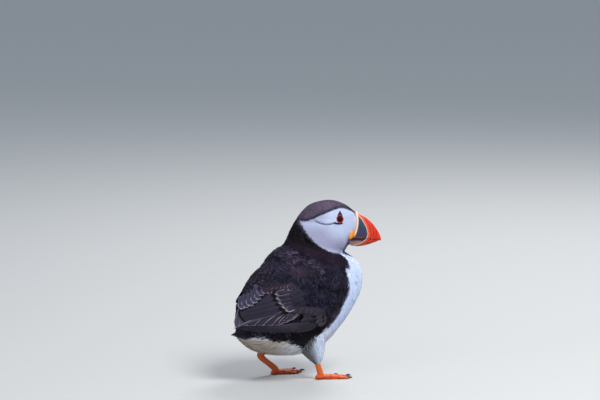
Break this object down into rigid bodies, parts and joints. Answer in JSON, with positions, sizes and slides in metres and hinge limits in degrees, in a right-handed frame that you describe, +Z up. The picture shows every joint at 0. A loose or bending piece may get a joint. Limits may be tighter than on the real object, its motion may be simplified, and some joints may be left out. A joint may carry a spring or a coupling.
{
  "type": "atlantic puffin",
  "caption": "Life-size standing Atlantic puffin in summer plumage, looking over its right shoulder: a still museum-type model.",
  "frame": {"origin": "on the floor under the middle of the bird's bounding box", "axes": "+X the way the trunk faces, +Y the bird's left, +Z up"},
  "size_m": [0.1566, 0.0908, 0.1845],
  "materials": {
    "plumage_dark": "black-brown body feathers with faint pale edges",
    "plumage_pale": "soft white to pale grey face, breast and belly feathers",
    "flight_feathers": "slate-black quill feathers with pale lilac edges",
    "foot_skin": "scaly orange-red skin and webs, slightly moist",
    "claw_horn": "black horn, worn at the tips",
    "bill_horn": "horny bill, slate-blue base, cream ridge, red-orange grooved tip",
    "cere_skin": "fleshy cream ridge, finely pitted",
    "rosette_skin": "wrinkled orange-yellow skin at the gape",
    "eye": "dark brown eye with a clear wet cornea",
    "eye_ring": "bare red rim of the lids",
    "eye_plate": "slate-blue horny plates above and below the eye"
  },
  "bodies": {
    "root": {"trunk": "plumage_dark", "neck": "plumage_dark", "head": "plumage_pale", "tail": "flight_feathers", "wing_left": "plumage_dark", "wing_right": "plumage_dark", "flight_feathers_left": "flight_feathers", "flight_feathers_right": "flight_feathers", "thigh_left": "plumage_pale", "thigh_right": "plumage_pale", "shank_left": "foot_skin", "shank_right": "foot_skin", "foot_left": "foot_skin", "foot_right": "foot_skin", "claw_inner_left": "claw_horn", "claw_middle_left": "claw_horn", "claw_outer_left": "claw_horn", "claw_inner_right": "claw_horn", "claw_middle_right": "claw_horn", "claw_outer_right": "claw_horn", "bill_upper": "bill_horn", "bill_lower": "bill_horn", "cere": "cere_skin", "rosette_left": "rosette_skin", "rosette_right": "rosette_skin", "eye_left": "eye", "eye_right": "eye", "eyering_left": "eye_ring", "eyering_right": "eye_ring", "eyeplate_upper_left": "eye_plate", "eyeplate_upper_right": "eye_plate", "eyeplate_lower_left": "eye_plate", "eyeplate_lower_right": "eye_plate"}
  },
  "joints": []
}
